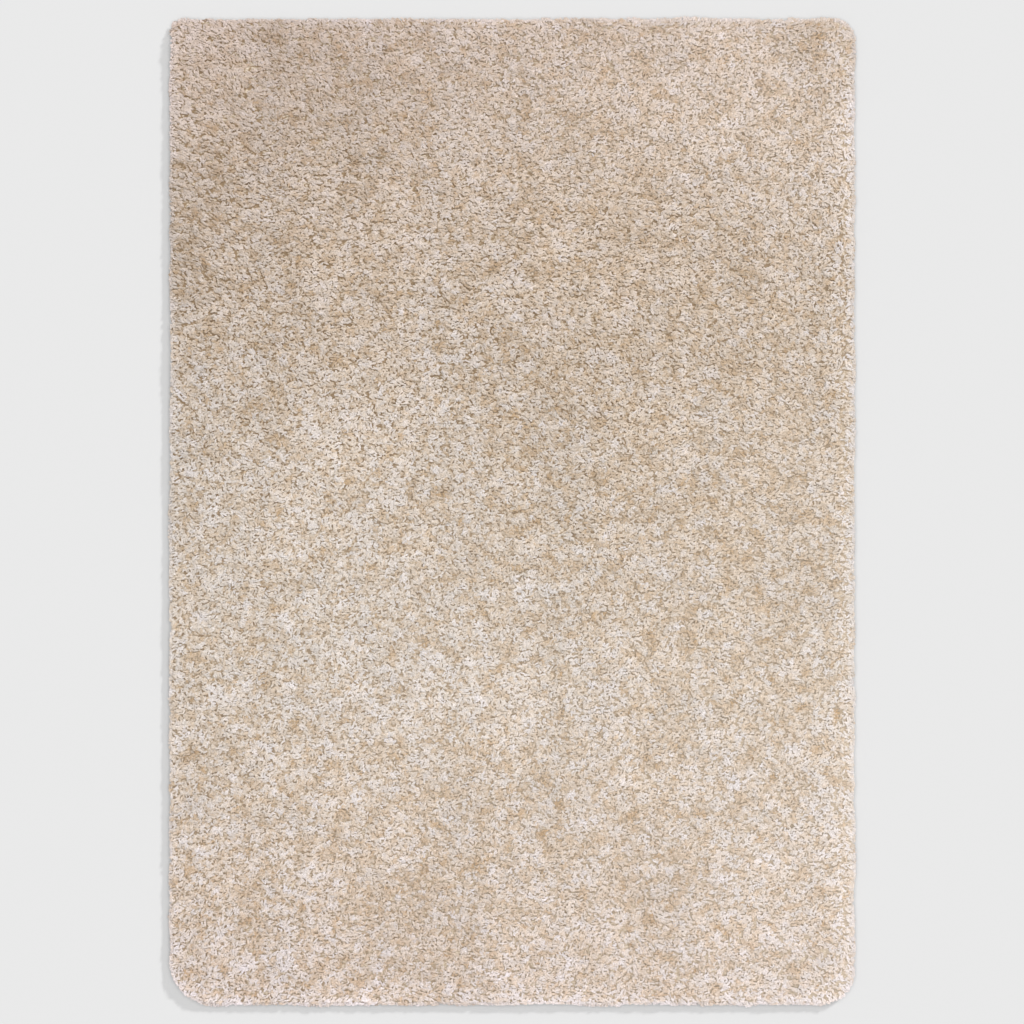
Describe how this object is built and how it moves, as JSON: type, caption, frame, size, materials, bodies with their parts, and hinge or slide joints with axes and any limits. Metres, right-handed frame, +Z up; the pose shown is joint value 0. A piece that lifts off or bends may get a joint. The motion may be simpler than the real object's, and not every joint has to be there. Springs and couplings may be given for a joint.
{
  "type": "shag rug",
  "caption": "Rectangular shag rug with a deep, uneven cream pile, lying flat, with loose yarn locks drooping along its rim.",
  "frame": {"origin": "on the floor, under the middle of the rug", "axes": "+X across the width, +Y along the length, +Z up out of the pile"},
  "size_m": [1.6, 2.3, 0.0359],
  "materials": {
    "cream_yarn": "matt heat-set pile yarn, cream with beige and tan strands"
  },
  "bodies": {
    "root": {"shag_pile": "cream_yarn"}
  },
  "joints": []
}
